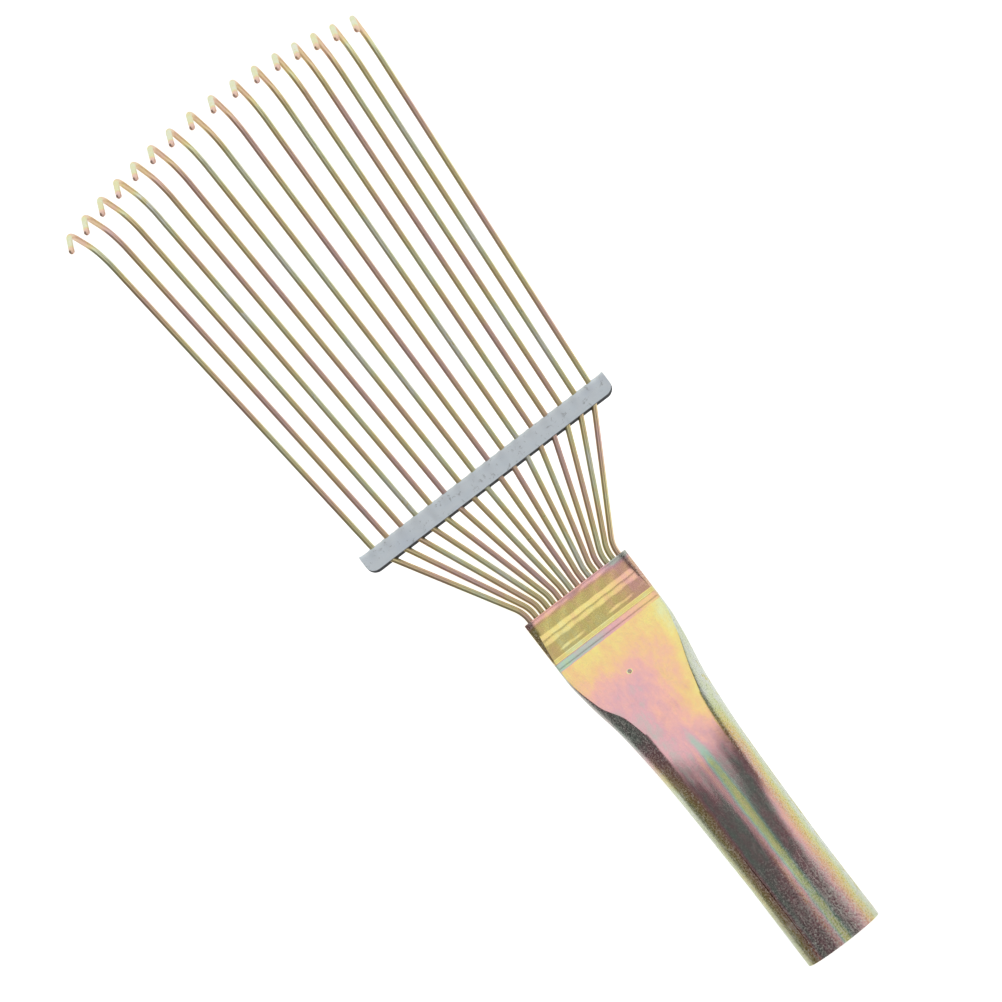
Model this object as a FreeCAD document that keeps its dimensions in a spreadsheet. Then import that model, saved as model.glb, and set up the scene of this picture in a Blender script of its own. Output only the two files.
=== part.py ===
import FreeCAD, Part
import math
import os

import Sketcher
from FreeCAD import Placement, Rotation, Vector

# Wire-tine rake head, lying on its back: the hooks point up (+Z).
# X runs along the pole, from the open end of the socket (X = 0) towards the tine tips.
# Y runs across the tines; tine_01 is the one furthest towards +Y. Sizes are in millimetres.

TINE_COUNT = 16

# The tines near this one stand a little aside from an even spread, in one smooth bow.
BOW_CENTRE = 10.5
BOW_REACH = 5.5

DRIVING_SIZES = (
    # socket: round at the pole end, pressed flat at the mouth
    ("bore_radius", 14.0),
    ("wall", 1.0),
    ("straight_length", 35.0),
    ("flat_start", 123.0),
    ("press_start", 134.0),
    ("press_full", 137.0),
    ("socket_length", 152.0),
    ("mouth_half_width", 21.75),
    ("slot_height", 2.2),
    ("slot_width", 41.4),
    ("seam_gap", 0.4),
    ("seam_length", 56.0),
    ("seam_angle", 44.0),
    # cross bar: a strip folded over the wires, open towards the pole
    ("bar_station", 201.5),
    ("bar_width", 7.6),
    ("bar_length", 105.0),
    ("lower_leaf_extra", 0.8),
    ("leaf_thickness", 1.0),
    ("leaf_gap", 2.3),
    ("bar_corner", 3.6),
    ("bar_hole_radius", 1.45),
    ("bar_pitch", 6.2),
    # wires
    ("wire_radius", 1.05),
    ("grip_start", 138.0),
    ("mouth_bend_station", 155.7),
    ("mouth_bend_radius", 12.0),
    ("mouth_pitch", 2.54),
    ("kink_station", 203.0),
    ("kink_radius", 3.5),
    ("spread_station", 322.0),
    ("spread_half_width", 56.9),
    ("spread_shift", 0.6),
    ("spread_bow", 2.8),
    ("wire_run", 187.65),
    # hooks: two bends with a straight run between them, then the pointed end
    ("first_bend_radius", 16.0),
    ("first_bend_angle", 47.0),
    ("hook_shank", 5.45),
    ("second_bend_radius", 6.0),
    ("second_bend_angle", 71.0),
    ("hook_end", 10.0),
    ("point_length", 1.3),
    ("point_radius", 0.45),
    ("first_lean", 15.5),
    ("last_lean", 5.0),
)

# Stations between the round part and the flat part: name, place as a share of the
# flare's length, and how much wider than the tube the half width is there, in millimetres.
FLARE_STATIONS = (
    ("flare_a", 0.32, 0.75),
    ("flare_b", 0.57, 1.55),
    ("flare_c", 0.82, 3.85),
    ("flare_d", 0.91, 5.2),
)

# An oval's side arcs have this share of its half height as their radius.
OVAL_SIDE_SHARE = 0.97

# Where a round section is divided, so that its four arcs line up with an oval's.
ROUND_CORNER = math.radians(70)

doc = FreeCAD.newDocument("rake_head")
sheet = doc.addObject("Spreadsheet::Sheet", "sizes")


def fill_sheet():
    """Writes the driving sizes, then the sizes worked out from them, each with its alias."""
    rows = [(name, str(value)) for name, value in DRIVING_SIZES]
    rows.append(("tube_radius", "=bore_radius + wall"))
    rows.append(("flare_length", "=flat_start - straight_length"))
    for name, share, extra in FLARE_STATIONS:
        rows.append((name + "_station", "=straight_length + %g * flare_length" % share))
        rows.append((name + "_width", "=tube_radius + %g" % extra))
    rows.append(("flat_width", "=mouth_half_width - 0.15"))
    # A pressed tube keeps its girth, so its half height follows from its half width.
    for name in [entry[0] for entry in FLARE_STATIONS] + ["flat"]:
        girth = "2 * pi * tube_radius - 4 * %s_width" % name
        rows.append((name + "_height", "=(%s) / (2 * pi - 4)" % girth))
    rows.append(("press_height", "=slot_height / 2 + wall"))
    # The hollow ends a little narrower than the wire slot, which cuts back into it.
    rows.append(("hollow_end_width", "=slot_width / 2 - 0.5"))
    rows.append(("hollow_end_height", "=slot_height / 2 - 0.2"))
    rows.append(("bar_half_thickness", "=leaf_gap / 2 + leaf_thickness"))
    for number, (name, content) in enumerate(rows, start=1):
        cell = "B%d" % number
        sheet.set("A%d" % number, name)
        sheet.set(cell, content)
        sheet.setAlias(cell, name)
    doc.recompute()


def size(name):
    """A size from the sheet, as a plain number."""
    value = sheet.get(name)
    return float(getattr(value, "Value", value))


def new_body(label):
    body = doc.addObject("PartDesign::Body", label)
    body.Label = label
    return body


def origin_plane(body, role):
    for feature in body.Origin.OriginFeatures:
        if feature.Role == role:
            return feature
    raise ValueError("no plane " + role)


def new_sketch(body, name, role, station=None, rotation=Rotation()):
    """A sketch on one of the body's origin planes, moved along its normal to a station."""
    sketch = body.newObject("Sketcher::SketchObject", name)
    sketch.AttachmentSupport = [(origin_plane(body, role), "")]
    sketch.MapMode = "FlatFace"
    distance = size(station) if station else 0.0
    sketch.AttachmentOffset = Placement(Vector(0, 0, distance), rotation)
    if station:
        sketch.setExpression("AttachmentOffset.Base.z", "sizes." + station)
    return sketch


def bind(sketch, constraint, name, expression):
    """Adds a named size constraint and binds it to the sheet."""
    index = sketch.addConstraint(constraint)
    sketch.renameConstraint(index, name)
    sketch.setExpression("Constraints." + name, expression)


def oval_section(body, name, station, half_width, half_height, inset="0"):
    """A section across the tube's axis, a round one or a four-arc oval with a flat crown.

    It stands at the station, which is an alias, and its half width and half height are two
    more aliases' sizes less the inset, which is an alias or 0."""
    sketch = new_sketch(body, name, "YZ_Plane", station)
    less = 0.0 if inset == "0" else size(inset)
    wide = size(half_width) - less
    high = size(half_height) - less
    is_round = wide - high < 0.001
    side_share = 1.0 if is_round else OVAL_SIDE_SHARE
    side = side_share * high
    reach = wide - side
    crown = high if is_round else (reach**2 + high**2 - side**2) / (2.0 * (high - side))
    drop = crown - high
    corner = ROUND_CORNER if is_round else math.atan2(drop, reach)
    add_arc(sketch, reach, 0.0, side, -corner, corner)
    add_arc(sketch, 0.0, -drop, crown, corner, math.pi - corner)
    add_arc(sketch, -reach, 0.0, side, math.pi - corner, math.pi + corner)
    add_arc(sketch, 0.0, drop, crown, math.pi + corner, 2 * math.pi - corner)
    joint = "Coincident" if is_round else "Tangent"
    for first in range(4):
        second = (first + 1) % 4
        sketch.addConstraint(Sketcher.Constraint(joint, first, 2, second, 1))
    less_rule = "0" if inset == "0" else "sizes." + inset
    wide_rule = "(sizes.%s - %s)" % (half_width, less_rule)
    high_rule = "(sizes.%s - %s)" % (half_height, less_rule)
    if is_round:
        for index in range(3):
            sketch.addConstraint(Sketcher.Constraint("Coincident", index, 3, -1, 1))
        bind(sketch, Sketcher.Constraint("Radius", 0, high), "outline", high_rule)
        return sketch

    side_rule = "%g * %s" % (side_share, high_rule)
    reach_rule = "(%s - %s)" % (wide_rule, side_rule)
    crown_parts = (reach_rule, high_rule, side_rule, high_rule, side_rule)
    crown_rule = "(%s ^ 2 + %s ^ 2 - (%s) ^ 2) / (2 * (%s - %s))" % crown_parts
    for index, ends in ((0, (-1, 1, 0, 3)), (2, (2, 3, -1, 1))):
        bind(sketch, Sketcher.Constraint("Radius", index, side), "side_%d" % index, side_rule)
        sketch.addConstraint(Sketcher.Constraint("PointOnObject", index, 3, -1))
        place = Sketcher.Constraint("DistanceX", *ends, reach)
        bind(sketch, place, "reach_%d" % index, reach_rule)
    for index in (1, 3):
        bind(sketch, Sketcher.Constraint("Radius", index, crown), "crown_%d" % index, crown_rule)
    return sketch


def add_arc(sketch, across, up, radius, start, end):
    circle = Part.Circle(Vector(across, up, 0), Vector(0, 0, 1), radius)
    sketch.addGeometry(Part.ArcOfCircle(circle, start, end), False)


def check_cut(before, feature, label):
    """A pocket that points away from the solid cuts nothing, so the volumes are compared."""
    doc.recompute()
    if feature.Shape.Volume > before - 0.1:
        raise RuntimeError(label + " cuts nothing")


def build_socket():
    body = new_body("socket")
    ring = new_sketch(body, "pole_end", "YZ_Plane")
    ring.addGeometry(Part.Circle(Vector(0, 0, 0), Vector(0, 0, 1), size("tube_radius")), False)
    ring.addConstraint(Sketcher.Constraint("Coincident", 0, 3, -1, 1))
    bind(ring, Sketcher.Constraint("Radius", 0, size("tube_radius")), "outer", "sizes.tube_radius")
    round_part = body.newObject("PartDesign::Pad", "round_part")
    round_part.Profile = ring
    round_part.Length = size("straight_length")
    round_part.setExpression("Length", "sizes.straight_length")

    outside = (
        ("out_round", "straight_length", "tube_radius", "tube_radius"),
        ("out_a", "flare_a_station", "flare_a_width", "flare_a_height"),
        ("out_b", "flare_b_station", "flare_b_width", "flare_b_height"),
        ("out_c", "flare_c_station", "flare_c_width", "flare_c_height"),
        ("out_d", "flare_d_station", "flare_d_width", "flare_d_height"),
        ("out_flat", "flat_start", "flat_width", "flat_height"),
        ("out_press", "press_start", "mouth_half_width", "flat_height"),
        ("out_pressed", "press_full", "mouth_half_width", "press_height"),
        ("out_mouth", "socket_length", "mouth_half_width", "press_height"),
    )
    sections = [oval_section(body, *entry) for entry in outside]
    flare = body.newObject("PartDesign::AdditiveLoft", "pressed_part")
    flare.Profile = sections[0]
    flare.Sections = sections[1:]
    flare.Ruled = True
    doc.recompute()

    bore_circle = new_sketch(body, "bore_circle", "YZ_Plane")
    circle = Part.Circle(Vector(0, 0, 0), Vector(0, 0, 1), size("bore_radius"))
    bore_circle.addGeometry(circle, False)
    bore_circle.addConstraint(Sketcher.Constraint("Coincident", 0, 3, -1, 1))
    bore_size = Sketcher.Constraint("Radius", 0, size("bore_radius"))
    bind(bore_circle, bore_size, "bore", "sizes.bore_radius")
    before = flare.Shape.Volume
    bore = body.newObject("PartDesign::Pocket", "pole_bore")
    bore.Profile = bore_circle
    bore.Length = size("straight_length")
    bore.setExpression("Length", "sizes.straight_length")
    bore.Reversed = True
    check_cut(before, bore, "pole bore")

    inside = [
        (name.replace("out", "in"), station, wide, high, "wall")
        for name, station, wide, high in outside[:-2]
    ]
    inside.append(("in_pressed", "press_full", "hollow_end_width", "hollow_end_height"))
    hollows = [oval_section(body, *entry) for entry in inside]
    before = bore.Shape.Volume
    hollow = body.newObject("PartDesign::SubtractiveLoft", "hollow")
    hollow.Profile = hollows[0]
    hollow.Sections = hollows[1:]
    hollow.Ruled = True
    check_cut(before, hollow, "hollow")

    slot_sketch = new_sketch(body, "wire_slot_outline", "YZ_Plane", "socket_length")
    half_width = size("slot_width") / 2
    half_height = size("slot_height") / 2
    add_rectangle(slot_sketch, -half_width, half_width, -half_height, half_height)
    bind_rectangle(slot_sketch, "sizes.slot_width", "sizes.slot_height")
    before = hollow.Shape.Volume
    slot = body.newObject("PartDesign::Pocket", "wire_slot")
    slot.Profile = slot_sketch
    slot.Length = size("socket_length") - size("press_full") + 1.0
    slot.setExpression("Length", "sizes.socket_length - sizes.press_full + 1")
    check_cut(before, slot, "wire slot")

    turn = Rotation(Vector(1, 0, 0), -size("seam_angle"))
    seam_sketch = new_sketch(body, "seam_outline", "XY_Plane", None, turn)
    half_gap = size("seam_gap") / 2
    add_rectangle(seam_sketch, 0.0, size("seam_length"), -half_gap, half_gap)
    bind_rectangle(seam_sketch, "sizes.seam_length", "sizes.seam_gap", centred=False)
    before = slot.Shape.Volume
    seam = body.newObject("PartDesign::Pocket", "seam")
    seam.Profile = seam_sketch
    seam.Length = 2 * size("tube_radius")
    seam.setExpression("Length", "2 * sizes.tube_radius")
    seam.Reversed = True
    check_cut(before, seam, "seam")
    body.Placement = Placement()
    return body


def add_rectangle(sketch, left, right, low, high):
    corners = (
        Vector(left, low, 0),
        Vector(right, low, 0),
        Vector(right, high, 0),
        Vector(left, high, 0),
    )
    for index in range(4):
        sketch.addGeometry(Part.LineSegment(corners[index], corners[(index + 1) % 4]), False)
    for index in range(4):
        joined = Sketcher.Constraint("Coincident", index, 2, (index + 1) % 4, 1)
        sketch.addConstraint(joined)
    for index in (0, 2):
        sketch.addConstraint(Sketcher.Constraint("Horizontal", index))
        sketch.addConstraint(Sketcher.Constraint("Vertical", index + 1))


def bind_rectangle(sketch, width, height, centred=True):
    """Binds a rectangle's sides. It is centred on the origin, or starts at the upright axis."""
    corner = sketch.getPoint(0, 1)
    far_corner = sketch.getPoint(2, 1)
    across = Sketcher.Constraint("DistanceX", 0, 1, 0, 2, far_corner.x - corner.x)
    along = Sketcher.Constraint("DistanceY", 1, 1, 1, 2, far_corner.y - corner.y)
    bind(sketch, across, "width", width)
    bind(sketch, along, "height", height)
    if centred:
        sketch.addConstraint(Sketcher.Constraint("Symmetric", 0, 1, 2, 1, -1, 1))
    else:
        sketch.addConstraint(Sketcher.Constraint("PointOnObject", 0, 1, -2))
        rise = Sketcher.Constraint("DistanceY", 0, 1, -1, 1, -corner.y)
        bind(sketch, rise, "rise", "(%s) / 2" % height)


def build_cross_bar():
    """A strip folded lengthwise: two leaves joined by a round fold on the tine side."""
    body = new_body("cross_bar")
    half = size("bar_half_thickness")
    inner = size("leaf_gap") / 2
    open_edge = size("bar_station") - size("bar_width") / 2
    lower_edge = open_edge - size("lower_leaf_extra")
    fold_centre = size("bar_station") + size("bar_width") / 2 - half
    profile = new_sketch(body, "folded_strip", "XZ_Plane")

    def line(first, second):
        profile.addGeometry(Part.LineSegment(Vector(*first, 0), Vector(*second, 0)), False)

    def fold_arc(radius):
        circle = Part.Circle(Vector(fold_centre, 0, 0), Vector(0, 0, 1), radius)
        profile.addGeometry(Part.ArcOfCircle(circle, -math.pi / 2, math.pi / 2), False)

    line((lower_edge, -half), (fold_centre, -half))
    fold_arc(half)
    line((fold_centre, half), (open_edge, half))
    line((open_edge, half), (open_edge, inner))
    line((open_edge, inner), (fold_centre, inner))
    fold_arc(inner)
    line((fold_centre, -inner), (lower_edge, -inner))
    line((lower_edge, -inner), (lower_edge, -half))
    joints = ((0, 2, 1, 1), (1, 2, 2, 1), (2, 2, 3, 1), (3, 2, 4, 1))
    joints += ((4, 2, 5, 2), (5, 1, 6, 1), (6, 2, 7, 1), (7, 2, 0, 1))
    for joint in joints:
        profile.addConstraint(Sketcher.Constraint("Coincident", *joint))
    for index in (0, 2, 4, 6):
        profile.addConstraint(Sketcher.Constraint("Horizontal", index))
    for index in (3, 7):
        profile.addConstraint(Sketcher.Constraint("Vertical", index))
    profile.addConstraint(Sketcher.Constraint("PointOnObject", 1, 3, -1))
    profile.addConstraint(Sketcher.Constraint("Coincident", 1, 3, 5, 3))
    edge_place = Sketcher.Constraint("DistanceX", -1, 1, 3, 1, open_edge)
    bind(profile, edge_place, "open_edge", "sizes.bar_station - sizes.bar_width / 2")
    lower_place = Sketcher.Constraint("DistanceX", -1, 1, 7, 1, lower_edge)
    lower_rule = "sizes.bar_station - sizes.bar_width / 2 - sizes.lower_leaf_extra"
    bind(profile, lower_place, "lower_edge", lower_rule)
    fold_place = Sketcher.Constraint("DistanceX", -1, 1, 1, 3, fold_centre)
    fold_rule = "sizes.bar_station + sizes.bar_width / 2 - sizes.bar_half_thickness"
    bind(profile, fold_place, "fold_centre", fold_rule)
    outer_fold = Sketcher.Constraint("Radius", 1, half)
    bind(profile, outer_fold, "outer_fold", "sizes.bar_half_thickness")
    inner_fold = Sketcher.Constraint("Radius", 5, inner)
    bind(profile, inner_fold, "inner_fold", "sizes.leaf_gap / 2")
    doc.recompute()

    strip = body.newObject("PartDesign::Pad", "strip")
    strip.Profile = profile
    strip.Length = size("bar_length")
    strip.setExpression("Length", "sizes.bar_length")
    strip.Midplane = True
    doc.recompute()

    hole_sketch = new_sketch(body, "first_hole", "YZ_Plane", "bar_station")
    first_hole = size("bar_pitch") * (TINE_COUNT - 1) / 2
    centre = Vector(-first_hole, 0, 0)
    circle = Part.Circle(centre, Vector(0, 0, 1), size("bar_hole_radius"))
    hole_sketch.addGeometry(circle, False)
    hole_sketch.addConstraint(Sketcher.Constraint("PointOnObject", 0, 3, -1))
    place = Sketcher.Constraint("DistanceX", 0, 3, -1, 1, first_hole)
    bind(hole_sketch, place, "first_place", "sizes.bar_pitch * %g" % ((TINE_COUNT - 1) / 2))
    hole_size = Sketcher.Constraint("Radius", 0, size("bar_hole_radius"))
    bind(hole_sketch, hole_size, "hole", "sizes.bar_hole_radius")
    before = strip.Shape.Volume
    hole = body.newObject("PartDesign::Pocket", "hole")
    hole.Profile = hole_sketch
    hole.Length = size("bar_width")
    hole.setExpression("Length", "sizes.bar_width")
    hole.Reversed = True
    check_cut(before, hole, "bar hole")

    row = body.newObject("PartDesign::LinearPattern", "hole_row")
    row.Originals = [hole]
    row.Direction = (hole_sketch, ["H_Axis"])
    row.Length = size("bar_pitch") * (TINE_COUNT - 1)
    row.setExpression("Length", "sizes.bar_pitch * %d" % (TINE_COUNT - 1))
    row.Occurrences = TINE_COUNT
    body.Tip = row
    check_cut(hole.Shape.Volume, row, "hole row")

    corners = []
    for number, edge in enumerate(row.Shape.Edges, start=1):
        box = edge.BoundBox
        at_end = abs(abs(box.Center.y) - size("bar_length") / 2) < 0.01
        at_open_side = min(abs(box.Center.x - open_edge), abs(box.Center.x - lower_edge)) < 0.01
        if at_end and at_open_side and box.YLength < 0.01 and box.XLength < 0.01:
            corners.append("Edge%d" % number)
    rounding = body.newObject("PartDesign::Fillet", "round_corners")
    rounding.Base = (row, corners)
    rounding.Radius = size("bar_corner")
    rounding.setExpression("Radius", "sizes.bar_corner")
    check_cut(row.Shape.Volume, rounding, "corner rounding")
    body.Placement = Placement()
    return body


def rounded_path(points, radii):
    """Straight runs through the points, joined by tangent arcs. Returns wire and length."""
    edges = []
    length = 0.0
    start = points[0]
    for index, radius in enumerate(radii, start=1):
        corner = points[index]
        arriving = (corner - points[index - 1]).normalize()
        leaving = (points[index + 1] - corner).normalize()
        turn = arriving.getAngle(leaving)
        reach = radius * math.tan(turn / 2)
        arc_start = corner - arriving * reach
        arc_end = corner + leaving * reach
        inward = (leaving - arriving).normalize()
        sagitta = radius * (1 / math.cos(turn / 2) - 1)
        edges.append(Part.LineSegment(start, arc_start).toShape())
        edges.append(Part.Arc(arc_start, corner + inward * sagitta, arc_end).toShape())
        length += (arc_start - start).Length + radius * turn
        start = arc_end
    edges.append(Part.LineSegment(start, points[-1]).toShape())
    length += (points[-1] - start).Length
    return Part.Wire(edges), length


def tine_bow(index):
    """How far a tine stands aside from an even spread, towards -Y, at the spread station."""
    from_centre = min(1.0, abs(index - BOW_CENTRE) / BOW_REACH)
    return size("spread_bow") * math.cos(math.pi / 2 * from_centre) ** 2


def tine_corners(index):
    """The corner points of one wire's centre line, from the grip to the hook's end."""
    middle = (TINE_COUNT - 1) / 2
    mouth_y = size("mouth_pitch") * (middle - index)
    bar_y = size("bar_pitch") * (middle - index)
    step = size("spread_half_width") / middle
    spread_y = step * (middle - index) + size("spread_shift") - tine_bow(index)

    grip = Vector(size("grip_start"), mouth_y, 0)
    mouth_bend = Vector(size("mouth_bend_station"), mouth_y, 0)
    kink = Vector(size("kink_station"), bar_y, 0)
    aim = Vector(size("spread_station"), spread_y, 0)
    along = (aim - kink).normalize()
    straight = size("wire_run") - (kink - mouth_bend).Length
    hook_start = kink + along * straight

    share = index / (TINE_COUNT - 1)
    lean = math.radians(size("first_lean") + share * (size("last_lean") - size("first_lean")))
    up = Vector(0, 0, 1)
    rise = up * math.cos(lean) + up.cross(along) * math.sin(lean)

    first_turn = math.radians(size("first_bend_angle"))
    second_turn = math.radians(size("second_bend_angle"))
    first_reach = size("first_bend_radius") * math.tan(first_turn / 2)
    second_reach = size("second_bend_radius") * math.tan(second_turn / 2)
    shank = along * math.cos(first_turn) + rise * math.sin(first_turn)
    whole_turn = first_turn + second_turn
    end = along * math.cos(whole_turn) + rise * math.sin(whole_turn)

    first_corner = hook_start + along * first_reach
    second_corner = first_corner + shank * (first_reach + size("hook_shank") + second_reach)
    wire_end = second_corner + end * (second_reach + size("hook_end") - size("point_length"))
    return [grip, mouth_bend, kink, first_corner, second_corner, wire_end], end


def build_tine(index):
    """One wire: a circle swept along its centre line, with a blunt point on its end."""
    points, end = tine_corners(index)
    radii = [size("mouth_bend_radius"), size("kink_radius")]
    radii += [size("first_bend_radius"), size("second_bend_radius")]
    path, length = rounded_path(points, radii)
    radius = size("wire_radius")
    outline = Part.Wire([Part.makeCircle(radius, points[0], Vector(1, 0, 0))])
    wire = path.makePipeShell([outline], True, False)
    expected = math.pi * radius**2 * length
    if abs(wire.Volume - expected) > 0.01 * expected:
        raise RuntimeError("wire %d has the wrong volume" % (index + 1))
    point = Part.makeCone(radius, size("point_radius"), size("point_length"), points[-1], end)
    tine = doc.addObject("Part::Feature", "tine_%02d" % (index + 1))
    tine.Label = tine.Name
    tine.Shape = wire.fuse(point).removeSplitter()
    tine.Placement = Placement()
    return tine


def write_steps(parts):
    """Checks every object and every piece, then writes one file for each piece."""
    doc.recompute()
    for item in doc.Objects:
        if "Invalid" in item.State or "Error" in item.State:
            raise RuntimeError("%s is %s" % (item.Name, item.State))
    for part in parts:
        if part.Shape.isNull() or not part.Shape.isValid() or len(part.Shape.Solids) != 1:
            raise RuntimeError("%s isn't one valid solid" % part.Label)
    os.makedirs("parts", exist_ok=True)
    for part in parts:
        part.Shape.exportStep("parts/%s.step" % part.Label)
        print("%s %.1f mm3" % (part.Label, part.Shape.Volume))


fill_sheet()
pieces = [build_socket(), build_cross_bar()]
pieces += [build_tine(index) for index in range(TINE_COUNT)]
write_steps(pieces)
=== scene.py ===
import bisect
import math

import bmesh
import bpy
from mathutils import Matrix, Vector


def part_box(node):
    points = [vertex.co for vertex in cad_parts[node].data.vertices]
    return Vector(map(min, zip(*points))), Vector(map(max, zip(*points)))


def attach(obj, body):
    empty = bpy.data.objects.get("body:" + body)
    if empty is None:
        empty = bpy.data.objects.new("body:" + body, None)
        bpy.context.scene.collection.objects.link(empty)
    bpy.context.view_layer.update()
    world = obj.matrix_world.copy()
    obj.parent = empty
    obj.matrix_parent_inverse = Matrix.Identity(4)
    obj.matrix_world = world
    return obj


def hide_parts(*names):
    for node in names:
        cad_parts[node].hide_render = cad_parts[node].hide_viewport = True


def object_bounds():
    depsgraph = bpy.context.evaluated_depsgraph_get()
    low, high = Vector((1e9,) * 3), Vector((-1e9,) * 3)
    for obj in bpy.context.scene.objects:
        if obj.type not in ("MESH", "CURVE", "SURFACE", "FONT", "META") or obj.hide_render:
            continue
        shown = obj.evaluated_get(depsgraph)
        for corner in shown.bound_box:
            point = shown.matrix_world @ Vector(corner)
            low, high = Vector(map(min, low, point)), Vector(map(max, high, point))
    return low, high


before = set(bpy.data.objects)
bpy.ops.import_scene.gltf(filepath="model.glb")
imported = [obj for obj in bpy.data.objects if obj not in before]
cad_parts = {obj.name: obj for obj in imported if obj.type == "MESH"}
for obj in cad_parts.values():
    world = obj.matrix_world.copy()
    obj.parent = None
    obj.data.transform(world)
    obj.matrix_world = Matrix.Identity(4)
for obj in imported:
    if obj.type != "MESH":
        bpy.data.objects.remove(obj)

CAD_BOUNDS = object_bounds()

MM = 0.001
TINE_COUNT = 16
MIDDLE = (TINE_COUNT - 1) / 2


# ---------------------------------------------------------------- sizes, in millimetres

# The socket: round at the pole end (X = 0), pressed flat at the mouth.
SOCKET_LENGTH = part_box("socket")[1][0] / MM
WALL = 1.0
SEAM_ANGLE = math.radians(44)
SEAM_LENGTH = 56.0
SEAM_GAP = 0.45

# The socket's outline, each as (station along the tube, size there).
# Half width and half height of the outside, from the round bore to the flat mouth.
HALF_WIDTH = ((35, 15.0), (75, 16.0), (100, 17.8), (118, 20.7), (128, 21.7), (152, 21.7))
HALF_HEIGHT = ((35, 15.0), (75, 13.3), (100, 9.6), (123, 4.35), (132, 3.0))
# The pressed lip: a groove, a ridge, a step down, then a shallow hollow before the mouth.
LIP_HEIGHT = (
    (132, 3.0), (133, 2.9), (135, 3.05), (136.5, 2.15), (141.5, 2.1), (144, 1.9), (146, 2.1),
    (152, 2.1),
)
# Half width of the flat face, on the left (+Y) and on the right (-Y).
FACE_LEFT = ((70, 10.4), (92, 10.7), (105, 13.1), (115, 18.3), (130, 21.3), (152, 18.9))
FACE_RIGHT = ((70, 10.4), (90, 11.1), (105, 14.3), (120, 19.1), (130, 21.2), (152, 18.6))
# How sharp the crease beside the flat face is, in degrees.
CREASE = ((62, 0), (88, 9), (105, 25), (119, 30), (130, 24), (136, 34), (152, 36))


def table(pairs):
    """A smooth curve through the pairs that never overshoots them, as a function."""
    xs = [float(x) for x, _ in pairs]
    ys = [float(y) for _, y in pairs]
    steps = [(ys[i + 1] - ys[i]) / (xs[i + 1] - xs[i]) for i in range(len(xs) - 1)]
    slopes = [steps[0]]
    for before, after in zip(steps, steps[1:]):
        flat = before * after <= 0
        slopes.append(0.0 if flat else 2 * before * after / (before + after))
    slopes.append(steps[-1])

    def value(x):
        if x <= xs[0]:
            return ys[0]
        if x >= xs[-1]:
            return ys[-1]
        i = bisect.bisect_right(xs, x) - 1
        width = xs[i + 1] - xs[i]
        s = (x - xs[i]) / width
        start = (1 + 2 * s) * (1 - s) ** 2 * ys[i] + s * (1 - s) ** 2 * width * slopes[i]
        end = s * s * (3 - 2 * s) * ys[i + 1] + s * s * (s - 1) * width * slopes[i + 1]
        return start + end

    return value


def smooth_step(low, high, x):
    """0 at low, 1 at high, and a smooth rise between them; low may be the larger."""
    s = min(1.0, max(0.0, (x - low) / (high - low)))
    return s * s * (3 - 2 * s)


# ---------------------------------------------------------------- making meshes


def add_piece(name, vertices, faces, replaced, material, attributes=None):
    """A smooth mesh piece that stands for a CAD node. Vertices are in millimetres."""
    mesh = bpy.data.meshes.new(name)
    mesh.from_pydata([Vector(v) * MM for v in vertices], [], faces)
    for key, values in (attributes or {}).items():
        layer = mesh.attributes.new(key, "FLOAT", "POINT")
        layer.data.foreach_set("value", values)
    mesh.polygons.foreach_set("use_smooth", [True] * len(mesh.polygons))
    mesh.materials.append(material)
    mesh.update()
    piece = bpy.data.objects.new(name, mesh)
    bpy.context.scene.collection.objects.link(piece)
    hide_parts(replaced)
    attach(piece, "root")
    return piece


def clean(piece, sharp_angle=None):
    """Merges doubled vertices, points all faces outwards and marks sharp edges."""
    work = bmesh.new()
    work.from_mesh(piece.data)
    bmesh.ops.remove_doubles(work, verts=work.verts, dist=1e-6)
    bmesh.ops.dissolve_degenerate(work, edges=work.edges, dist=1e-7)
    bmesh.ops.recalc_face_normals(work, faces=work.faces)
    if sharp_angle:
        for edge in work.edges:
            if len(edge.link_faces) == 2 and edge.calc_face_angle(0.0) > sharp_angle:
                edge.smooth = False
    work.to_mesh(piece.data)
    work.free()


def cut_away(piece, places, radius, depth):
    """Cuts round holes, each centred on a place and along its Z axis, out of a piece."""
    work = bmesh.new()
    for place in places:
        bmesh.ops.create_cone(
            work, cap_ends=True, segments=28, radius1=radius * MM, radius2=radius * MM,
            depth=depth * MM, matrix=place,
        )
    mesh = bpy.data.meshes.new("cutters")
    work.to_mesh(mesh)
    work.free()
    cutter = bpy.data.objects.new("cutters", mesh)
    bpy.context.scene.collection.objects.link(cutter)
    cut = piece.modifiers.new("holes", "BOOLEAN")
    cut.operation = "DIFFERENCE"
    cut.solver = "EXACT"
    cut.object = cutter
    graph = bpy.context.evaluated_depsgraph_get()
    result = bpy.data.meshes.new_from_object(piece.evaluated_get(graph))
    piece.modifiers.clear()
    piece.data = result
    bpy.data.objects.remove(cutter)


def stations(start, end, step):
    count = max(1, round((end - start) / step))
    return [start + (end - start) * i / count for i in range(count)]


# ---------------------------------------------------------------- the socket

half_width = table(HALF_WIDTH)
body_height = table(HALF_HEIGHT)
lip_height = table(LIP_HEIGHT)
face_left = table(FACE_LEFT)
face_right = table(FACE_RIGHT)
crease_angle = table(CREASE)

TOP_COLUMNS = 16
SIDE_COLUMNS = 22
RIM = 0.22
# The crease on the right (-Y) is softer than the one on the left.
RIGHT_CREASE = 0.7


def tube_height(x):
    return body_height(x) if x <= 132 else lip_height(x)


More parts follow.
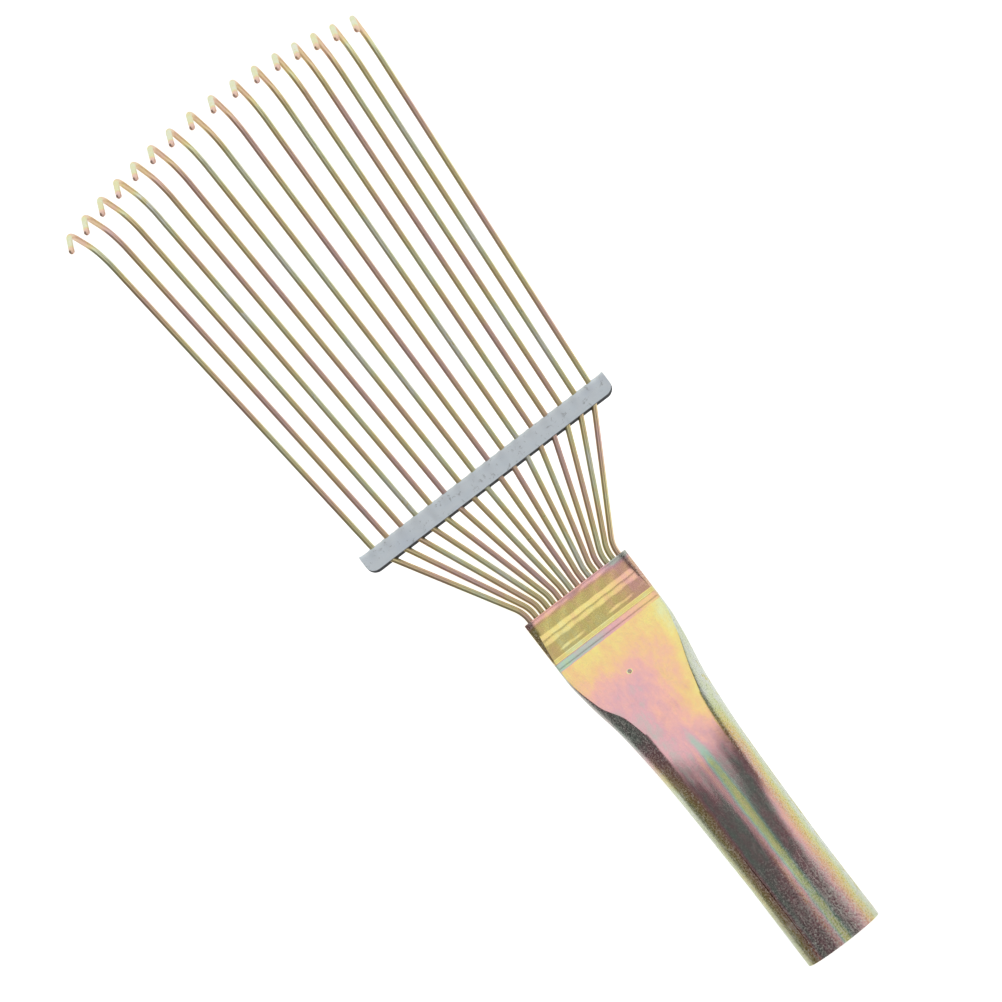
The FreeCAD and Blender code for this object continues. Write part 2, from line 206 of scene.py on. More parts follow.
def quadrant(x, left, inset):
    """Points of a quarter section, from the middle of the face round to the side fold."""
    wide = half_width(x) - inset
    high = tube_height(x) - inset
    face = (face_left(x) if left else face_right(x)) - 0.5 * inset
    face = min(face, wide - 0.15)
    crease = math.radians(crease_angle(x)) * (1.0 if left else RIGHT_CREASE)
    pressed = smooth_step(44, 92, x)
    side_high = high / math.cos(crease)
    side_wide = (wide - face) / (1 - math.sin(crease))
    centre = wide - side_wide
    points = []
    for column in range(TOP_COLUMNS + SIDE_COLUMNS + 1):
        if column <= TOP_COLUMNS:
            share = column / TOP_COLUMNS
            turn = share * SEAM_ANGLE
            flat = (share * face, high)
        else:
            share = (column - TOP_COLUMNS) / SIDE_COLUMNS
            turn = SEAM_ANGLE + share * (math.pi / 2 - SEAM_ANGLE)
            bend = crease + share * (math.pi / 2 - crease)
            flat = (centre + side_wide * math.sin(bend), side_high * math.cos(bend))
        rounded = (wide * math.sin(turn), high * math.cos(turn))
        points.append(tuple(r + pressed * (f - r) for r, f in zip(rounded, flat)))
    return points


def socket_section(x, inset):
    """The closed outline at a station, from the seam over the top and back to the seam."""
    left = quadrant(x, True, inset)
    right = quadrant(x, False, inset)
    seam = TOP_COLUMNS
    outline = [(y, z) for y, z in reversed(left[: seam + 1])]
    outline += [(-y, z) for y, z in right[1:]]
    outline += [(-y, -z) for y, z in reversed(right[:-1])]
    outline += [(y, -z) for y, z in left[1:]]
    outline += [(y, z) for y, z in reversed(left[seam:-1])]
    opening = SEAM_GAP / 2 * (1 - smooth_step(0.55 * SEAM_LENGTH, SEAM_LENGTH, x))
    if opening > 0:
        along = (math.cos(SEAM_ANGLE), -math.sin(SEAM_ANGLE))
        outline[0] = tuple(p - opening * a for p, a in zip(outline[0], along))
        outline[-1] = tuple(p + opening * a for p, a in zip(outline[-1], along))
    return outline


def rim_inset(x):
    """How far the surface draws in where the tube's ends are rounded over."""
    from_end = min(x, SOCKET_LENGTH - x)
    if from_end >= RIM:
        return 0.0
    return RIM - math.sqrt(RIM**2 - (RIM - from_end) ** 2)


def face_dents(x, y, z):
    """Shallow waves that pressing and handling leave, measured along the wall's normal."""
    near_mouth = smooth_step(78, 100, x) * (1 - smooth_step(114, 122, x))
    wave = 0.12 * math.sin(0.21 * x + 0.33 * y + 0.6) * math.sin(0.17 * y - 0.09 * x)
    wave += 0.07 * math.sin(0.47 * x - 0.38 * y + 2.0)
    lip = smooth_step(137.5, 139, x) * (1 - smooth_step(150, 151.5, x))
    lip_wave = 0.05 * math.sin(0.31 * y + 1.0) + 0.03 * math.sin(0.9 * y + 0.8 * x)
    tube = 1 - smooth_step(70, 100, x)
    turn = math.atan2(y, z)
    tube_wave = 0.03 * math.sin(0.06 * x + 1.9 * turn) * smooth_step(2, 14, x)
    tube_wave += 0.022 * math.sin(13 * turn + 0.7) + 0.012 * math.sin(29 * turn + 0.02 * x)
    edge = smooth_step(0.0, 2.5, half_width(x) - abs(y))
    inward = near_mouth * (wave - 0.12) + lip * (lip_wave - 0.06)
    return min(0.0, inward) * edge + min(0.0, tube * (tube_wave - 0.03))


# Film thickness round the round part of the tube: degrees from the top towards -Y. Partly the film's
# own tint and partly painted sheen: the bands follow the angle round the tube, standing in for the way
# the film's colour shifts with its angle to the lamps and camera.
FILM_AND_SHEEN_AROUND = table((
    (-180, 0.1), (-90, 0.1), (-62, 0.16), (-52, 0.32), (-44, 0.45), (-35, 0.68), (-15, 0.64),
    (-8, 0.5), (-4, 0.6), (2, 0.9), (8, 0.88), (14, 0.66), (30, 0.64), (40, 0.5), (48, 0.38),
    (55, 0.27), (64, 0.12), (80, 0.03), (180, 0.1),
))


def socket_film_and_sheen(x, y, z):
    """The chromate film on the socket, which differs between its lip, folds, face and tube; round the
    tube its bands are partly painted sheen.
    """
    from_fold = face_left(x) - y if y > 0 else face_right(x) + y
    leftward = smooth_step(-14, 10, y)
    face = 0.3 + (0.12 + 0.2 * leftward) * smooth_step(130, 112, x)
    face -= 0.14 * smooth_step(5, 0, from_fold) * smooth_step(70, 100, x) * (1 - leftward)
    if from_fold < 0:
        face = 0.7 if y > 0 else 0.06
    lip = 0.27 + 0.2 * smooth_step(-9, -17, y) + 0.26 * smooth_step(148.5, 151, x)
    ridge = smooth_step(136.8, 136.3, x)
    groove = smooth_step(135.0, 134.7, x)
    lip += ridge * (0.24 - lip)
    lip += groove * (0.78 - 0.4 * smooth_step(12, -16, y) - lip)
    # Partly painted sheen: colour bands set by the angle round the tube stand in for the film's tint
    # changing with its angle to the lamps and camera.
    tube = FILM_AND_SHEEN_AROUND(math.degrees(math.atan2(-y, z)))
    value = face + smooth_step(100, 70, x) * (tube - face)
    return value + smooth_step(131.7, 132.1, x) * (lip - value)


def socket_wear(x, y):
    """How rough and scratched the socket is: most at the pole's end and beside the folds."""
    beside = smooth_step(-0.5, 0.5, y - face_left(x)) + smooth_step(-0.5, 0.5, -y - face_right(x))
    return max(0.25 + 0.75 * smooth_step(48, 8, x), 0.75 * beside, 0.12) * (
        1 - 0.65 * smooth_step(60, 95, x) * (1 - min(1.0, beside))
    )


def build_socket(material):
    rows = [0.0, 0.05, 0.11] + stations(RIM, 56.0, 1.0) + stations(56.0, 100.0, 0.7)
    rows += stations(100.0, 131.0, 0.5) + stations(131.0, 147.0, 0.16)
    rows += stations(147.0, SOCKET_LENGTH - RIM, 0.4)
    rows += [SOCKET_LENGTH - step for step in (RIM, 0.11, 0.05, 0.0)]
    vertices = []
    film_and_sheen = []
    wear = []
    layers = []
    for inner in (False, True):
        layer = []
        for x in rows:
            draw = rim_inset(x)
            inset = WALL - draw if inner else draw
            ring = []
            for y, z in socket_section(x, inset):
                push = face_dents(x, y, z)
                size = math.hypot(y, z)
                pressed = smooth_step(60, 100, x)
                y += push * (1 - pressed) * y / size
                z += push * ((1 - pressed) * z / size + pressed * (1 if z > 0 else -1))
                ring.append(len(vertices))
                vertices.append((x, y, z))
                film_and_sheen.append(socket_film_and_sheen(x, y, z))
                wear.append(socket_wear(x, y))
            layer.append(ring)
        layers.append(layer)
    faces = []
    outer, inside = layers
    for row in range(len(rows) - 1):
        for column in range(len(outer[0]) - 1):
            for layer in layers:
                low, high = layer[row], layer[row + 1]
                faces.append((low[column], low[column + 1], high[column + 1], high[column]))
        if rows[row] < SEAM_LENGTH:
            for end in (0, -1):
                faces.append(
                    (outer[row][end], outer[row + 1][end], inside[row + 1][end], inside[row][end])
                )
    for row in (0, -1):
        for column in range(len(outer[0]) - 1):
            faces.append(
                (outer[row][column], outer[row][column + 1],
                 inside[row][column + 1], inside[row][column])
            )
    piece = add_piece(
        "socket_shell", vertices, faces, "socket", material, {"film_and_sheen": film_and_sheen, "wear": wear}
    )
    clean(piece, math.radians(22))
    top = Vector((118.0, 2.4, tube_height(118.0)))
    cut_away(piece, [Matrix.Translation(top * MM)], 0.75, 1.0)
    clean(piece, math.radians(22))
    return piece


# ---------------------------------------------------------------- the wires

WIRE_RADIUS = 1.03
MOUTH_PITCH = 2.54
BAR_PITCH = 6.2
GRIP_START = 138.0
MOUTH_BEND = 155.7
MOUTH_BEND_RADIUS = 12.0
KINK_STATION = 203.0
KINK_RADIUS = 3.5
SPREAD_STATION = 322.0
SPREAD_HALF_WIDTH = 56.9
SPREAD_SHIFT = 0.6
SPREAD_BOW = 2.8
WIRE_RUN = 187.65
BOW_CENTRE = 10.5
BOW_REACH = 5.5
FIRST_BEND = (16.0, math.radians(47))
SECOND_BEND = (6.0, math.radians(71))
HOOK_SHANK = 5.45
HOOK_END = 10.0
FIRST_LEAN = 15.5
LAST_LEAN = 5.0
POINT_LENGTH = 1.3
# The wire's cut end: (distance past the shoulder, radius), down the bevel and into the dimple.
WIRE_END = (
    (0.12, 1.03), (0.35, 0.93), (0.75, 0.73), (1.1, 0.55), (1.24, 0.47), (1.3, 0.36),
    (1.3, 0.24), (1.16, 0.17), (1.1, 0.02),
)


def tine_bow(index):
    """How far a tine stands aside from an even spread, towards -Y, at the spread station."""
    from_centre = min(1.0, abs(index - BOW_CENTRE) / BOW_REACH)
    return SPREAD_BOW * math.cos(math.pi / 2 * from_centre) ** 2


def tine_corners(index):
    """Corner points of a wire's centre line from the grip to the hook's end, and bend radii."""
    mouth_y = MOUTH_PITCH * (MIDDLE - index)
    bar_y = BAR_PITCH * (MIDDLE - index)
    spread_y = SPREAD_HALF_WIDTH / MIDDLE * (MIDDLE - index) + SPREAD_SHIFT - tine_bow(index)
    grip = Vector((GRIP_START, mouth_y, 0))
    mouth = Vector((MOUTH_BEND, mouth_y, 0))
    kink = Vector((KINK_STATION, bar_y, 0))
    along = (Vector((SPREAD_STATION, spread_y, 0)) - kink).normalized()
    hook_start = kink + along * (WIRE_RUN - (kink - mouth).length)

    share = index / (TINE_COUNT - 1)
    lean = math.radians(FIRST_LEAN + share * (LAST_LEAN - FIRST_LEAN))
    up = Vector((0, 0, 1))
    rise = up * math.cos(lean) + up.cross(along) * math.sin(lean)
    reach = [radius * math.tan(turn / 2) for radius, turn in (FIRST_BEND, SECOND_BEND)]
    shank = along * math.cos(FIRST_BEND[1]) + rise * math.sin(FIRST_BEND[1])
    turned = FIRST_BEND[1] + SECOND_BEND[1]
    end = along * math.cos(turned) + rise * math.sin(turned)
    first = hook_start + along * reach[0]
    second = first + shank * (reach[0] + HOOK_SHANK + reach[1])
    last = second + end * (reach[1] + HOOK_END)
    radii = (MOUTH_BEND_RADIUS, KINK_RADIUS, FIRST_BEND[0], SECOND_BEND[0])
    return [grip, mouth, kink, first, second, last], radii


def sample_path(points, radii, step):
    """Points along straight runs and tangent arcs, with their distance from the start."""
    path = [points[0]]
    for index, radius in enumerate(radii, start=1):
        corner = points[index]
        arriving = (corner - points[index - 1]).normalized()
        leaving = (points[index + 1] - corner).normalized()
        turn = arriving.angle(leaving)
        reach = radius * math.tan(turn / 2)
        start = corner - arriving * reach
        run = start - path[-1]
        pieces = max(1, round(run.length / step))
        path += [path[-1] + run * i / pieces for i in range(1, pieces + 1)]
        inward = (leaving - arriving).normalized()
        centre = corner + inward * (radius / math.cos(turn / 2))
        spoke = start - centre
        axis = arriving.cross(leaving).normalized()
        pieces = max(3, round(turn / math.radians(4)))
        for i in range(1, pieces + 1):
            path.append(centre + Matrix.Rotation(turn * i / pieces, 3, axis) @ spoke)
    run = points[-1] - path[-1]
    pieces = max(1, round(run.length / step))
    path += [path[-1] + run * i / pieces for i in range(1, pieces + 1)]
    return path


def wire_film_and_sheen(index, from_start, from_end):
    """Film thickness along a wire: drifting, orange on the hook's shank, paler yellow-green towards the
    end, pink at its end. The orange and the paler yellow-green are painted sheen; the drift and the
    pink are the wire's own colour.
    """
    drift = 0.3 + 0.12 * math.sin(1.7 * index) + 0.14 * math.sin(from_start / 7 + 2.1 * index)
    # Painted sheen: the orange on the tilted shank and the paler yellow-green towards the end stand in
    # for the film's colour shifting as the hook turns to the light; the pink at the cut end is the
    # wire's own colour.
    value = drift + smooth_step(26, 21, from_end) * (0.4 - drift)
    value += smooth_step(13, 10, from_end) * (0.12 - value)
    return value + smooth_step(4, 2.5, from_end) * (0.5 - value)


def build_tine(index, material):
    """A round wire along its path, with a bevelled end and a small dimple in its cut face."""
    points, radii = tine_corners(index)
    path = sample_path(points, radii, 2.0)
    sides = 28
    end_direction = (path[-1] - path[-2]).normalized()
    shoulder = path[-1] - end_direction * POINT_LENGTH
    path[-1] = shoulder
    rings = [(p, WIRE_RADIUS) for p in path]
    rings += [(shoulder + end_direction * along, radius) for along, radius in WIRE_END]
    lengths = [0.0]
    for (a, _), (b, _) in zip(rings, rings[1:]):
        lengths.append(lengths[-1] + (b - a).length)
    vertices = []
    film_and_sheen = []
    side = Vector((0, 0, 1))
    for number, (centre, radius) in enumerate(rings):
        before = rings[max(0, number - 1)][0]
        after = rings[min(len(rings) - 1, number + 1)][0]
        forward = end_direction if number >= len(path) - 1 else (after - before).normalized()
        side = (side - forward * side.dot(forward)).normalized()
        other = forward.cross(side)
        for k in range(sides):
            turn = 2 * math.pi * k / sides
            spoke = side * math.cos(turn) + other * math.sin(turn)
            vertices.append(centre + spoke * radius)
            film_and_sheen.append(wire_film_and_sheen(index, lengths[number], lengths[-1] - lengths[number]))
    faces = []
    for ring in range(len(rings) - 1):
        for k in range(sides):
            a = ring * sides + k
            b = ring * sides + (k + 1) % sides
            faces.append((a, b, b + sides, a + sides))
    faces.append(tuple(range(sides - 1, -1, -1)))
    last = (len(rings) - 1) * sides
    faces.append(tuple(range(last, last + sides)))
    piece = add_piece(
        "tine_wire_%02d" % (index + 1), vertices, faces, "tine_%02d" % (index + 1),
        material, {"film_and_sheen": film_and_sheen, "wear": [0.0] * len(film_and_sheen)},
    )
    clean(piece, math.radians(32))
    return piece


# ---------------------------------------------------------------- the cross bar

BAR_LOW, BAR_HIGH = (Vector(corner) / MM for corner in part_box("cross_bar"))
LEAF = 1.0
BAR_CORNER = 3.6
LEAF_EDGE = 0.22
LOWER_LEAF_EXTRA = 0.8
# Dents in the upper leaf: place along the bar and depth.
BAR_DENTS = ((24.0, 0.28), (-10.0, 0.16), (-32.0, 0.2))
BAR_STEPS = 540
HOLE_RADIUS = 1.4


def straight(first, last, height, count=12):
    """Points along a flat stretch of the strip, both ends included."""
    return [(first + (last - first) * i / count, height) for i in range(count + 1)]


def arc(x, z, radius, first, last, count):
    """Points of an arc about (x, z), both ends included; degrees go from +X towards +Z."""
    turns = [math.radians(first + (last - first) * i / count) for i in range(count + 1)]
    return [(x + radius * math.cos(turn), z + radius * math.sin(turn)) for turn in turns]


def bar_outline():
    """The folded strip's section, as the outside run and then the inside run back."""
    half = BAR_HIGH.z
    inner = half - LEAF
    fold = BAR_HIGH.x - half
    lower = BAR_LOW.x + LEAF_EDGE
    upper = lower + LOWER_LEAF_EXTRA
    outside = straight(upper, fold, half) + arc(fold, 0, half, 90, -90, 18)[1:]
    outside += straight(fold, lower, -half)[1:]
    outside += arc(lower, -half + LEAF_EDGE, LEAF_EDGE, -90, -180, 4)[1:]
    inside = arc(lower, -inner - LEAF_EDGE, LEAF_EDGE, 180, 90, 4)[:-1]
    inside += straight(lower, fold, -inner) + arc(fold, 0, inner, -90, 90, 12)[1:]
    inside += straight(fold, upper, inner)[1:]
    inside += arc(upper, inner + LEAF_EDGE, LEAF_EDGE, -90, -180, 4)[1:]
    inside += arc(upper, half - LEAF_EDGE, LEAF_EDGE, 180, 90, 4)[1:-1]
    return outside, inside


def corner_draw(y):
    """How far the free edges draw in at the bar's ends, where their corners are rounded."""
    from_end = BAR_HIGH.y - abs(y)
    if from_end >= BAR_CORNER:
        return 0.0
    return BAR_CORNER - math.sqrt(max(0.0, BAR_CORNER**2 - (BAR_CORNER - from_end) ** 2))


def wire_slack(y):
    """1 between two wires and 0 over a wire."""
    return 0.5 + 0.5 * math.cos(2 * math.pi * y / BAR_PITCH)


def bar_point(x, y, z):
    """Moves a point of the plain folded strip to where pressing and handling left it."""
    fold = BAR_HIGH.x - BAR_HIGH.z
    share = max(0.0, min(1.0, (fold - x) / (fold - BAR_LOW.x)))
    x += corner_draw(y) * share
    near_fold = 1 - share
    pinch = 0.3 * wire_slack(y) * near_fold**2
    wave = 0.05 * math.sin(0.19 * y + 0.7) + 0.03 * math.sin(0.55 * y + 1.1) + 0.08
    dent = 0.0
    for place, depth in BAR_DENTS:
        dent += depth * math.exp(-(((y - place) / 1.1) ** 2)) * math.exp(-(((share - 0.45) / 0.3) ** 2))
    sign = 1 if z > 0 else -1
    z -= sign * (pinch + (wave + (dent if sign > 0 else 0.0)) * min(1.0, share * 3) * 0.8)
    x -= 0.3 * wire_slack(y) * max(0.0, (x - fold) / BAR_HIGH.z)
    return (x, y, z)


def build_cross_bar(material):
    outside, inside = bar_outline()
    outline = outside + inside
    width = BAR_HIGH.y - BAR_LOW.y
    rows = [BAR_LOW.y + 0.001]
    rows += [BAR_LOW.y + 0.08, BAR_LOW.y + 0.25]
    rows += [BAR_LOW.y + 0.4 + (width - 0.8) * i / BAR_STEPS for i in range(BAR_STEPS + 1)]
    rows += [BAR_HIGH.y - 0.25, BAR_HIGH.y - 0.08, BAR_HIGH.y - 0.001]
    vertices = []
    for y in rows:
        vertices += [bar_point(x, y, z) for x, z in outline]
    # Painted shade: the inside of the folded strip, including the lower leaf where it shows past the
    # upper leaf's edge, is marked to be darkened. This stands in for the shadow in the gap between the
    # leaves.
    gap_shade = ([0.0] * len(outside) + [0.9] * len(inside)) * len(rows)
    faces = []
    around = len(outline)
    for row in range(len(rows) - 1):
        for k in range(around):
            a = row * around + k
            b = row * around + (k + 1) % around
            faces.append((a, b, b + around, a + around))
    outer_count = len(outside)
    for start in (0, (len(rows) - 1) * around):
        inner_count = around - outer_count
        steps = max(outer_count, inner_count)
        for i in range(steps):
            a = start + min(outer_count - 1, i * outer_count // steps)
            b = start + min(outer_count - 1, (i + 1) * outer_count // steps)
            c = start + (around - 1 - min(inner_count - 1, (i + 1) * inner_count // steps))
            d = start + (around - 1 - min(inner_count - 1, i * inner_count // steps))
            corners = list(dict.fromkeys((a, b, c, d)))
            if len(corners) > 2:
                faces.append(tuple(corners))
    piece = add_piece(
        "cross_bar_strip", vertices, faces, "cross_bar", material, {"gap_shade": gap_shade}
    )
    clean(piece, math.radians(40))
    turn = Matrix.Rotation(math.pi / 2, 4, "Y")
    places = [
        Matrix.Translation(Vector((BAR_HIGH.x - 0.5, BAR_PITCH * (MIDDLE - index), 0)) * MM) @ turn
        for index in range(TINE_COUNT)
    ]
    cut_away(piece, places, HOLE_RADIUS, 3.0)
    return piece


# ---------------------------------------------------------------- materials


class Nodes:
    """Short ways to add shader nodes to one material or world."""

    def __init__(self, tree):
        self.tree = tree

    def link(self, source, target):
        self.tree.links.new(source, target)

    def add(self, kind, **settings):
        node = self.tree.nodes.new("ShaderNode" + kind)
        for key, value in settings.items():
            setattr(node, key, value)
        return node

    def place(self, stretch=(1, 1, 1), turn=0.0):
        """Object coordinates, turned and stretched so that a pattern is longer one way."""
        coordinates = self.add("TexCoord")
        mapping = self.add("Mapping")
        mapping.inputs["Rotation"].default_value = (0, 0, turn)
        mapping.inputs["Scale"].default_value = stretch
        self.link(coordinates.outputs["Object"], mapping.inputs["Vector"])
        return mapping.outputs["Vector"]

    def noise(self, scale, detail=3.0, roughness=0.55, stretch=(1, 1, 1), distortion=0.0, seed=0.0):
        node = self.add("TexNoise", noise_dimensions="4D")
        node.inputs["Scale"].default_value = scale
        node.inputs["Detail"].default_value = detail
        node.inputs["Roughness"].default_value = roughness
        node.inputs["Distortion"].default_value = distortion
        node.inputs["W"].default_value = seed
        self.link(self.place(stretch), node.inputs["Vector"])
        return node.outputs["Fac"]

    def ramp(self, value, stops, interpolation="LINEAR"):
        node = self.add("ValToRGB")
        node.color_ramp.interpolation = interpolation
        elements = node.color_ramp.elements
        while len(elements) < len(stops):
            elements.new(0.5)
        for element, (position, color) in zip(elements, stops):
            element.position = position
            if isinstance(color, (int, float)):
                color = (color, color, color)
            element.color = (*color, 1.0)
        self.link(value, node.inputs["Fac"])
        return node.outputs["Color"]

    def mix(self, factor, first, second, blend="MIX"):
        node = self.add("Mix", data_type="RGBA", blend_type=blend)
        self.set(node.inputs["Factor"], factor)
        self.set(node.inputs["A"], first)
        self.set(node.inputs["B"], second)
        return node.outputs["Result"]

    def math(self, operation, first, second=0.0):
        node = self.add("Math", operation=operation)
        self.set(node.inputs[0], first)
        self.set(node.inputs[1], second)
        return node.outputs[0]

    def add_scaled(self, total, part, share):
        """total + part * share"""
        return self.math("ADD", total, self.math("MULTIPLY", part, share))

    def set(self, socket, value):
        if isinstance(value, bpy.types.NodeSocket):
            self.link(value, socket)
        elif isinstance(value, tuple):
            socket.default_value = (*value, 1.0)
        else:
            socket.default_value = value

    def bump(self, height, strength, distance, normal=None):
        node = self.add("Bump")
        node.inputs["Strength"].default_value = strength
        node.inputs["Distance"].default_value = distance
        self.link(height, node.inputs["Height"])
        if normal:
            self.link(normal, node.inputs["Normal"])
        return node.outputs["Normal"]


def new_material(name):
    """A material with only a Principled shader, as (material, nodes, shader)."""
    material = bpy.data.materials.new(name)
    material.use_nodes = True
    material.node_tree.nodes.clear()
    nodes = Nodes(material.node_tree)
    output = nodes.add("OutputMaterial")
    shader = nodes.add("BsdfPrincipled")
    nodes.link(shader.outputs[0], output.inputs[0])
    return material, nodes, shader


# Colours of the chromate film as it gets thicker.
FILM_COLOURS = (
    (0.02, (0.80, 0.84, 0.76)), (0.13, (0.72, 0.78, 0.42)), (0.25, (0.82, 0.68, 0.22)),
    (0.37, (0.84, 0.54, 0.25)), (0.49, (0.82, 0.43, 0.36)), (0.60, (0.70, 0.38, 0.42)),
    (0.70, (0.48, 0.47, 0.44)), (0.80, (0.38, 0.56, 0.46)), (0.90, (0.52, 0.62, 0.28)),
    (1.00, (0.76, 0.68, 0.26)),
)


def yellow_zinc(name, patch, stretch, line_scale, drift_size, calm, dullness,
                line_depth):
    """Glossy zinc plating under a chromate film whose colour follows its thickness; the thickness it
    reads also carries painted sheen bands.
    """
    material, nodes, shader = new_material(name)
    film_and_sheen = nodes.add("Attribute", attribute_name="film_and_sheen").outputs["Fac"]
    wear = nodes.add("Attribute", attribute_name="wear").outputs["Fac"]
    drift = nodes.noise(patch, 3.0, 0.5, stretch, 0.5, 1.0)
    cloud = nodes.noise(patch * 6, 4.0, 0.62, stretch, 0.2, 2.0)
    grain = nodes.noise(1600.0, 3.0, 0.75, (1, 1, 1), 0.0, 3.0)
    lines = nodes.noise(line_scale, 3.0, 0.6, (0.02, 1, 1), 0.0, 4.0)
    broad = nodes.noise(line_scale * 0.3, 2.0, 0.5, (0.012, 1, 1), 0.0, 5.0)

    film_and_sheen = nodes.add_scaled(film_and_sheen, drift, drift_size)
    film_and_sheen = nodes.add_scaled(film_and_sheen, cloud, drift_size * 0.7)
    film_and_sheen = nodes.add_scaled(film_and_sheen, broad, drift_size * 0.5)
    film_and_sheen = nodes.math("SUBTRACT", film_and_sheen, drift_size * 1.1)
    film_and_sheen = nodes.math("FRACT", film_and_sheen)
    tint = nodes.ramp(film_and_sheen, FILM_COLOURS)
    tint = nodes.mix(calm, tint, (0.92, 0.82, 0.68))
    pits = nodes.ramp(grain, ((0.36, 0.45), (0.54, 1.0)))
    tint = nodes.mix(wear, tint, nodes.mix(1.0, tint, pits, "MULTIPLY"))
    marks = nodes.mix(wear, (1.0, 1.0, 1.0), scratches(nodes))
    specks = nodes.math("MULTIPLY", nodes.ramp(grain, ((0.51, 0.0), (0.6, 1.0))), wear)
    scatter = nodes.math("MAXIMUM", nodes.math("SUBTRACT", 1.0, marks), specks)
    tint = nodes.mix(scatter, tint, (0.62, 0.6, 0.54))
    nodes.link(tint, shader.inputs["Base Color"])
    metallic = nodes.math("SUBTRACT", 1.0, nodes.math("MULTIPLY", scatter, 0.75))
    nodes.link(metallic, shader.inputs["Metallic"])

    rough = nodes.add_scaled(dullness, grain, 0.1)
    rough = nodes.add_scaled(rough, cloud, 0.1)
    rough = nodes.add_scaled(rough, wear, 0.12)
    nodes.link(rough, shader.inputs["Roughness"])

    coarse = nodes.bump(cloud, 0.1, 0.0003)
    scored = nodes.bump(lines, line_depth, 0.0001, coarse)
    scratched = nodes.bump(marks, 0.6, 0.00004, scored)
    fine = nodes.bump(nodes.math("MULTIPLY", grain, wear), 0.8, 0.00008, scratched)
    nodes.link(fine, shader.inputs["Normal"])
    return material


def scratches(nodes):
    """Thin scratches in three directions, thickest in random patches."""
    total = None
    for number, turn in enumerate((0.35, -0.5, 1.2)):
        cells = nodes.add("TexVoronoi", feature="DISTANCE_TO_EDGE")
        cells.inputs["Scale"].default_value = 420.0
        nodes.link(nodes.place((0.14, 1, 1), turn), cells.inputs["Vector"])
        line = nodes.ramp(cells.outputs["Distance"], ((0.0, 0.0), (0.02, 1.0)))
        where = nodes.noise(90.0, 2.0, 0.5, (1, 1, 1), 0.0, 10.0 + number)
        clear = nodes.ramp(where, ((0.48, 1.0), (0.6, 0.0)))
        line = nodes.math("MAXIMUM", line, clear)
        total = line if total is None else nodes.math("MINIMUM", total, line)
    return total


def clear_zinc(name):
    """Dull zinc plating with a faint blue passivation, rubbed and marked, and near black painted shade
    inside the fold.
    """
    material, nodes, shader = new_material(name)
    cloud = nodes.noise(110.0, 4.0, 0.6, (1, 0.6, 1), 0.4, 5.0)
    grain = nodes.noise(2600.0, 2.0, 0.6, (1, 1, 1), 0.0, 6.0)
    marks = nodes.noise(420.0, 5.0, 0.75, (1, 1, 1), 0.8, 7.0)
    rubbed = nodes.ramp(marks, ((0.57, 0.0), (0.64, 1.0)))
    tone = nodes.ramp(
        cloud, ((0.3, (0.79, 0.86, 0.95)), (0.5, (0.86, 0.92, 0.98)), (0.7, (0.8, 0.88, 0.96)))
    )
    colour = nodes.mix(nodes.math("MULTIPLY", rubbed, 0.55), tone, (0.36, 0.38, 0.4))
    # Painted shade: the marked inside of the fold is mixed towards near black, standing in for the
    # shadow between the leaves.
    gap_shade = nodes.add("Attribute", attribute_name="gap_shade").outputs["Fac"]
    colour = nodes.mix(gap_shade, colour, (0.06, 0.06, 0.065))
    nodes.link(colour, shader.inputs["Base Color"])
    shader.inputs["Metallic"].default_value = 0.12
    rough = nodes.add_scaled(0.4, grain, 0.14)
    nodes.link(rough, shader.inputs["Roughness"])
    coarse = nodes.bump(marks, 0.3, 0.0002)
    fine = nodes.bump(grain, 0.3, 0.00005, coarse)
    nodes.link(fine, shader.inputs["Normal"])
    return material


def floor_material():
    """A sheet of white acrylic that glows a little, like the top of a light table."""
    material, nodes, shader = new_material("pale_floor")
    mottle = nodes.noise(3.0, 3.0, 0.5, (1, 1, 1), 0.0, 8.0)
    tone = nodes.ramp(mottle, ((0.3, 0.9), (0.7, 0.93)))
    nodes.link(tone, shader.inputs["Base Color"])
    nodes.link(tone, shader.inputs["Emission Color"])
    shader.inputs["Emission Strength"].default_value = FLOOR_GLOW
    shader.inputs["Roughness"].default_value = 0.9
    shader.inputs["Specular IOR Level"].default_value = 0.1
    return material


# ---------------------------------------------------------------- stage, light and camera

# The camera looks straight down on the hooks' side, with the pole axis across the picture.
VIEW_TURN = math.radians(232.55)
VIEW_CENTRE = Vector((191.0, 1.9, 0.0)) * MM
VIEW_DISTANCE = 2.605
LENS = 273.0
FLOOR_GLOW = 0.82


def add_floor():
    low = min(CAD_BOUNDS[0][2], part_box("socket")[0][2])
    mesh = bpy.data.meshes.new("floor")
    reach = 4.0
    corners = [(VIEW_CENTRE.x + x, VIEW_CENTRE.y + y, low) for x, y in
               ((-reach, -reach), (reach, -reach), (reach, reach), (-reach, reach))]
    mesh.from_pydata(corners, [], [(0, 1, 2, 3)])
    mesh.materials.append(floor_material())
    floor = bpy.data.objects.new("floor", mesh)
    bpy.context.scene.collection.objects.link(floor)
    floor.visible_glossy = False


def add_area(name, direction, distance, size, power, colour=(1, 1, 1)):
    """A soft rectangular light that faces the object. Direction is in the row frame."""
    light = bpy.data.lights.new(name, "AREA")
    light.shape = "RECTANGLE"
    light.size, light.size_y = size
    light.energy = power
    light.color = colour
    holder = bpy.data.objects.new(name, light)
    aim = Vector(direction).normalized()
    holder.location = VIEW_CENTRE + aim * distance
    holder.rotation_euler = aim.to_track_quat("Z", "Y").to_euler()
    bpy.context.scene.collection.objects.link(holder)


def add_lights():
    """Two soft boxes above the object, one over the tines and one over the pole's end."""
    for name, side, power, tilt in (("tip_box", 1, 4.4, 31), ("pole_box", -1, 4.4, 31)):
        lean = math.radians(tilt)
        direction = (side * math.sin(lean), 0, math.cos(lean))
        add_area(name, direction, 2.0, (1.2, 1.9), power)


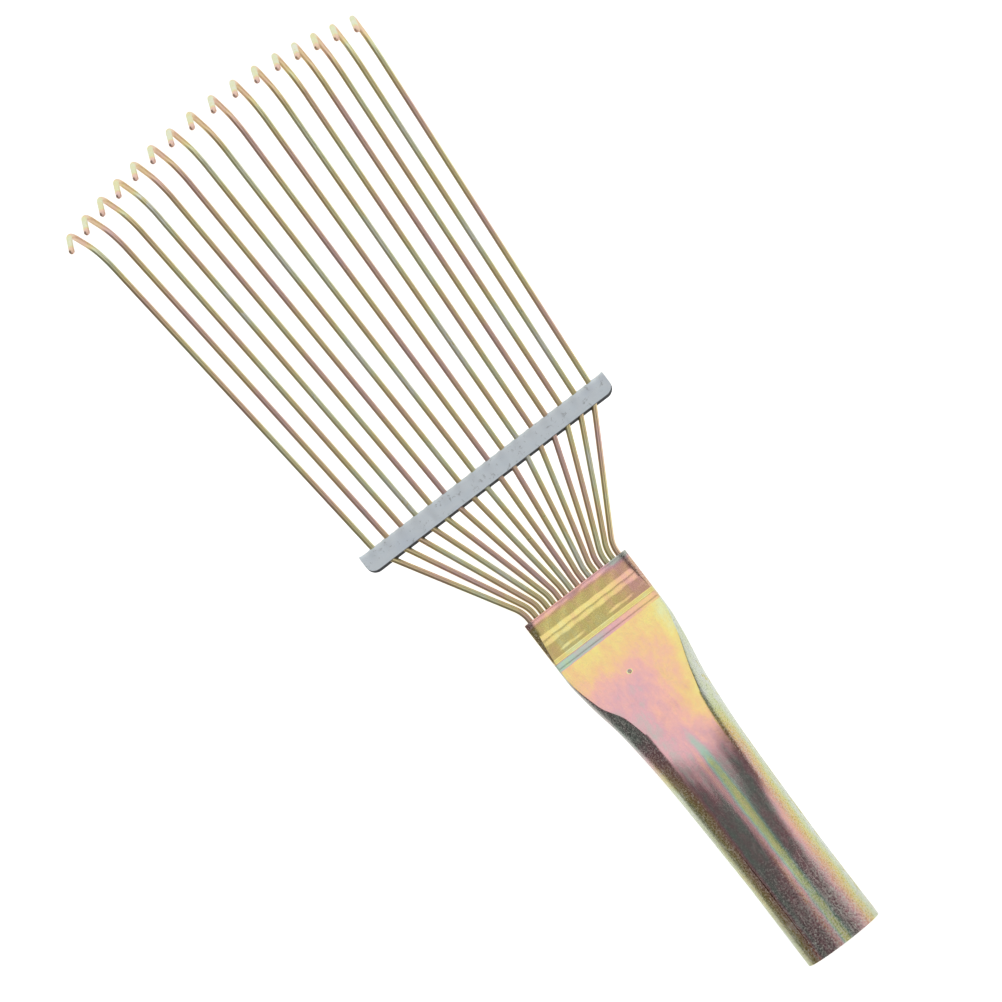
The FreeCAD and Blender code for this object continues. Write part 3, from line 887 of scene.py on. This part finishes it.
def add_world():
    """A dim studio: a pale wall low down on the -Y side and past both ends, a dark +Y side."""
    world = bpy.data.worlds.new("studio")
    world.use_nodes = True
    nodes = Nodes(world.node_tree)
    background = world.node_tree.nodes["Background"]
    split = nodes.add("SeparateXYZ")
    nodes.link(nodes.add("TexCoord").outputs["Generated"], split.inputs[0])
    x, y, z = split.outputs[:3]
    ceiling = nodes.ramp(nodes.math("ABSOLUTE", y), ((0.12, 0.52), (0.32, 0.17)))
    wall_top = nodes.add_scaled(0.16, y, -0.22)
    wall_top = nodes.add_scaled(wall_top, nodes.math("MAXIMUM", y, 0.0), -1.15)
    wall_top = nodes.add_scaled(wall_top, nodes.math("ABSOLUTE", x), 0.22)
    wall = nodes.ramp(nodes.math("SUBTRACT", z, wall_top), ((0.0, 1.0), (0.2, 0.0)))
    nodes.link(nodes.mix(wall, ceiling, (0.97, 1.0, 0.97)), background.inputs["Color"])
    bpy.context.scene.world = world


def add_camera():
    camera = bpy.data.cameras.new("camera")
    camera.lens = LENS
    camera.sensor_width = 36.0
    camera.clip_end = 20.0
    holder = bpy.data.objects.new("camera", camera)
    holder.location = VIEW_CENTRE + Vector((0, 0, VIEW_DISTANCE))
    holder.rotation_euler = (0, 0, VIEW_TURN)
    bpy.context.scene.collection.objects.link(holder)
    bpy.context.scene.camera = holder
    bpy.context.scene.view_settings.view_transform = "Standard"


# ---------------------------------------------------------------- building the scene

sheet_zinc = yellow_zinc(
    "yellow_zinc_sheet", patch=60.0, stretch=(0.7, 1, 1), line_scale=900.0, drift_size=0.36,
    calm=0.06, dullness=0.08, line_depth=0.12,
)
wire_zinc = yellow_zinc(
    "yellow_zinc_wire", patch=110.0, stretch=(0.5, 1, 1), line_scale=2500.0, drift_size=0.42,
    calm=0.36, dullness=0.2, line_depth=0.02,
)
bar_zinc = clear_zinc("clear_zinc_bar")

build_socket(sheet_zinc)
build_cross_bar(bar_zinc)
for number in range(TINE_COUNT):
    build_tine(number, wire_zinc)
add_floor()
add_lights()
add_world()
add_camera()
